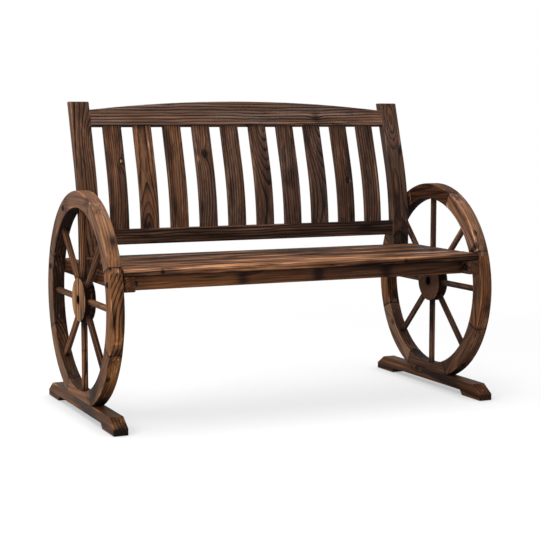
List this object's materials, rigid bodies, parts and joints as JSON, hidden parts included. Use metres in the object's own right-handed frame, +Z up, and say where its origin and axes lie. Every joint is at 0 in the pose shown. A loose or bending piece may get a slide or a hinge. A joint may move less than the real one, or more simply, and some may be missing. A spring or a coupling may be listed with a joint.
{
  "type": "wagon wheel garden bench",
  "caption": "Rustic garden bench of flame-darkened fir: a slatted seat and curved slat back carried between spoked wagon wheels that stand fixed on skids.",
  "frame": {"origin": "on the floor, under the middle of the bench", "axes": "+X along the seat to the sitter's left hand, +Y to the back, +Z up; the sitter faces -Y"},
  "size_m": [1.174, 0.62, 0.8759],
  "materials": {
    "rim_wood": "flame-darkened fir, brushed, orange early wood with near-black late wood lines",
    "spoke_wood": "turned fir dowel, flamed unevenly",
    "hub_wood": "flamed fir disc, straight grain across the face",
    "skid_wood": "flamed fir, worn arrises",
    "frame_wood": "flamed fir, dark",
    "seat_wood": "flamed fir boards, satin where they are sat on",
    "back_wood": "flamed fir with cathedral figure and knots",
    "black_steel": "black coated steel",
    "screw_steel": "dulled zinc plate"
  },
  "bodies": {
    "root": {"left_wheel_felloe_1": "rim_wood", "left_wheel_felloe_2": "rim_wood", "left_wheel_felloe_3": "rim_wood", "left_wheel_felloe_4": "rim_wood", "left_wheel_felloe_5": "rim_wood", "left_wheel_felloe_6": "rim_wood", "left_wheel_felloe_7": "rim_wood", "left_wheel_felloe_8": "rim_wood", "left_wheel_spokes": "spoke_wood", "left_wheel_hub": "hub_wood", "left_foot_skid": "skid_wood", "left_seat_bearer": "frame_wood", "left_back_post": "back_wood", "right_wheel_felloe_1": "rim_wood", "right_wheel_felloe_2": "rim_wood", "right_wheel_felloe_3": "rim_wood", "right_wheel_felloe_4": "rim_wood", "right_wheel_felloe_5": "rim_wood", "right_wheel_felloe_6": "rim_wood", "right_wheel_felloe_7": "rim_wood", "right_wheel_felloe_8": "rim_wood", "right_wheel_spokes": "spoke_wood", "right_wheel_hub": "hub_wood", "right_foot_skid": "skid_wood", "right_seat_bearer": "frame_wood", "right_back_post": "back_wood", "front_seat_rail": "frame_wood", "rear_seat_rail": "frame_wood", "middle_seat_bearer": "frame_wood", "seat_slat_1": "seat_wood", "seat_slat_2": "seat_wood", "seat_slat_3": "seat_wood", "seat_slat_4": "seat_wood", "back_lower_rail": "back_wood", "back_top_rail": "back_wood", "back_slat_01": "back_wood", "back_slat_02": "back_wood", "back_slat_03": "back_wood", "back_slat_04": "back_wood", "back_slat_05": "back_wood", "back_slat_06": "back_wood", "back_slat_07": "back_wood", "back_slat_08": "back_wood", "back_slat_09": "back_wood", "back_slat_10": "back_wood", "bearer_bolts": "black_steel", "bearer_bolt_washers": "black_steel", "bearer_bolt_nuts": "black_steel", "post_coach_screws": "black_steel", "post_spacers": "frame_wood", "skid_screws": "screw_steel", "post_lap_screws": "screw_steel", "seat_slat_screws": "screw_steel"}
  },
  "joints": []
}
